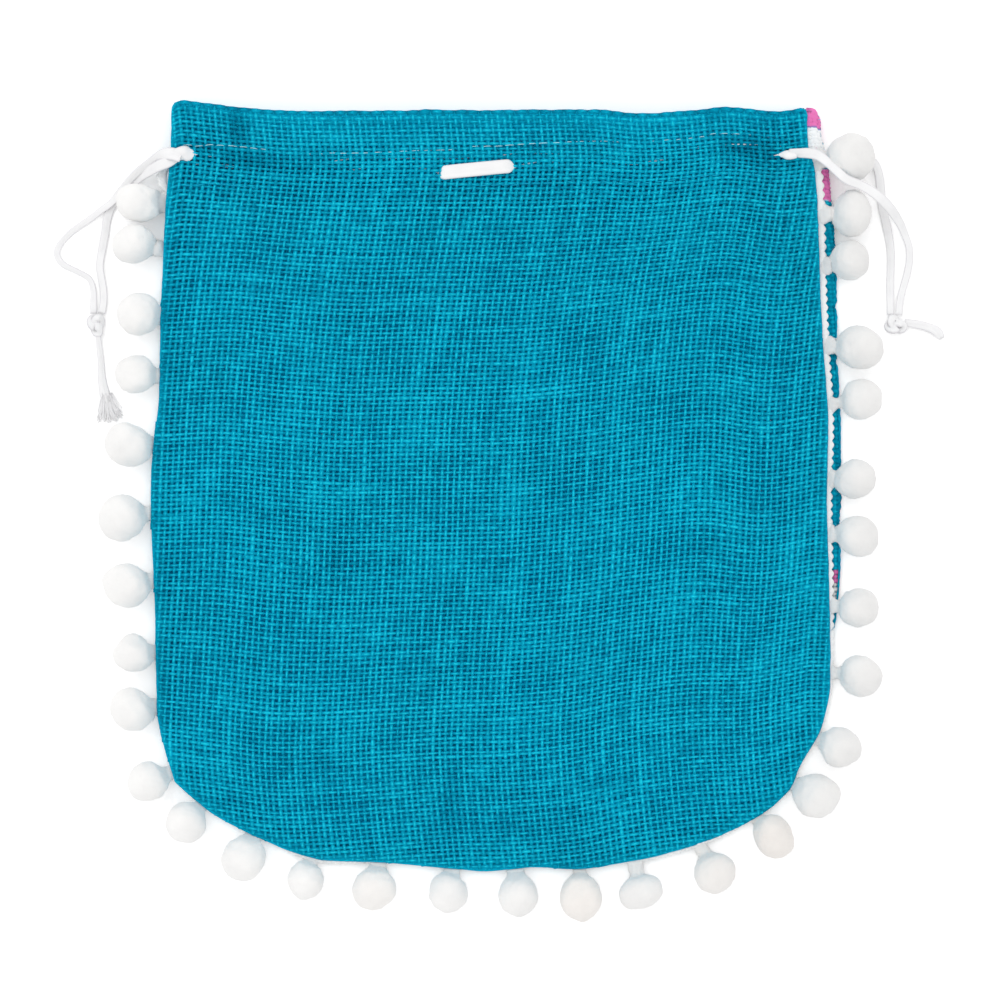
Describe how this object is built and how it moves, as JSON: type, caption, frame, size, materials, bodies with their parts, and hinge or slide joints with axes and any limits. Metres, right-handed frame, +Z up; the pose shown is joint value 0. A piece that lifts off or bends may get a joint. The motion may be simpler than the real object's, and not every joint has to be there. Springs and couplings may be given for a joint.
{
  "type": "drawstring pouch",
  "caption": "Flat drawstring pouch of open-weave jute cloth, with a pompom trim in its rounded seam and a satin ribbon knotted at each side of its hemmed mouth.",
  "frame": {"origin": "on the flat underside of the front panel, at the middle of the cloth's width and height", "axes": "+Y towards the mouth, +X to the right seen from above with the back panel up, +Z up from the surface that the bag lies on"},
  "size_m": [0.2597, 0.2366, 0.0136],
  "materials": {
    "back_cloth": "teal open plain-weave jute, matt and slubby",
    "front_cloth": "the same jute cloth, with a simple pink and white print",
    "trim_braid": "white woven cotton braid with scalloped edges",
    "pompom_yarn": "white brushed yarn, soft and matt",
    "satin_ribbon": "white satin ribbon with a soft sheen"
  },
  "bodies": {
    "root": {"back_panel": "back_cloth", "front_panel": "front_cloth", "trim_tape": "trim_braid", "pompom_01": "pompom_yarn", "pompom_02": "pompom_yarn", "pompom_03": "pompom_yarn", "pompom_04": "pompom_yarn", "pompom_05": "pompom_yarn", "pompom_06": "pompom_yarn", "pompom_07": "pompom_yarn", "pompom_08": "pompom_yarn", "pompom_09": "pompom_yarn", "pompom_10": "pompom_yarn", "pompom_11": "pompom_yarn", "pompom_12": "pompom_yarn", "pompom_13": "pompom_yarn", "pompom_14": "pompom_yarn", "pompom_15": "pompom_yarn", "pompom_16": "pompom_yarn", "pompom_17": "pompom_yarn", "pompom_18": "pompom_yarn", "pompom_19": "pompom_yarn", "pompom_20": "pompom_yarn", "pompom_21": "pompom_yarn", "pompom_22": "pompom_yarn", "pompom_23": "pompom_yarn", "pompom_24": "pompom_yarn", "pompom_25": "pompom_yarn", "pompom_26": "pompom_yarn", "pompom_27": "pompom_yarn", "pompom_28": "pompom_yarn", "pompom_29": "pompom_yarn", "pompom_30": "pompom_yarn", "pompom_31": "pompom_yarn", "left_ribbon_run": "satin_ribbon", "right_ribbon_run": "satin_ribbon", "left_strand_upper": "satin_ribbon", "left_strand_lower": "satin_ribbon", "left_knot": "satin_ribbon", "left_tail": "satin_ribbon", "right_strand_upper": "satin_ribbon", "right_strand_lower": "satin_ribbon", "right_knot": "satin_ribbon", "right_tail": "satin_ribbon"}
  },
  "joints": []
}
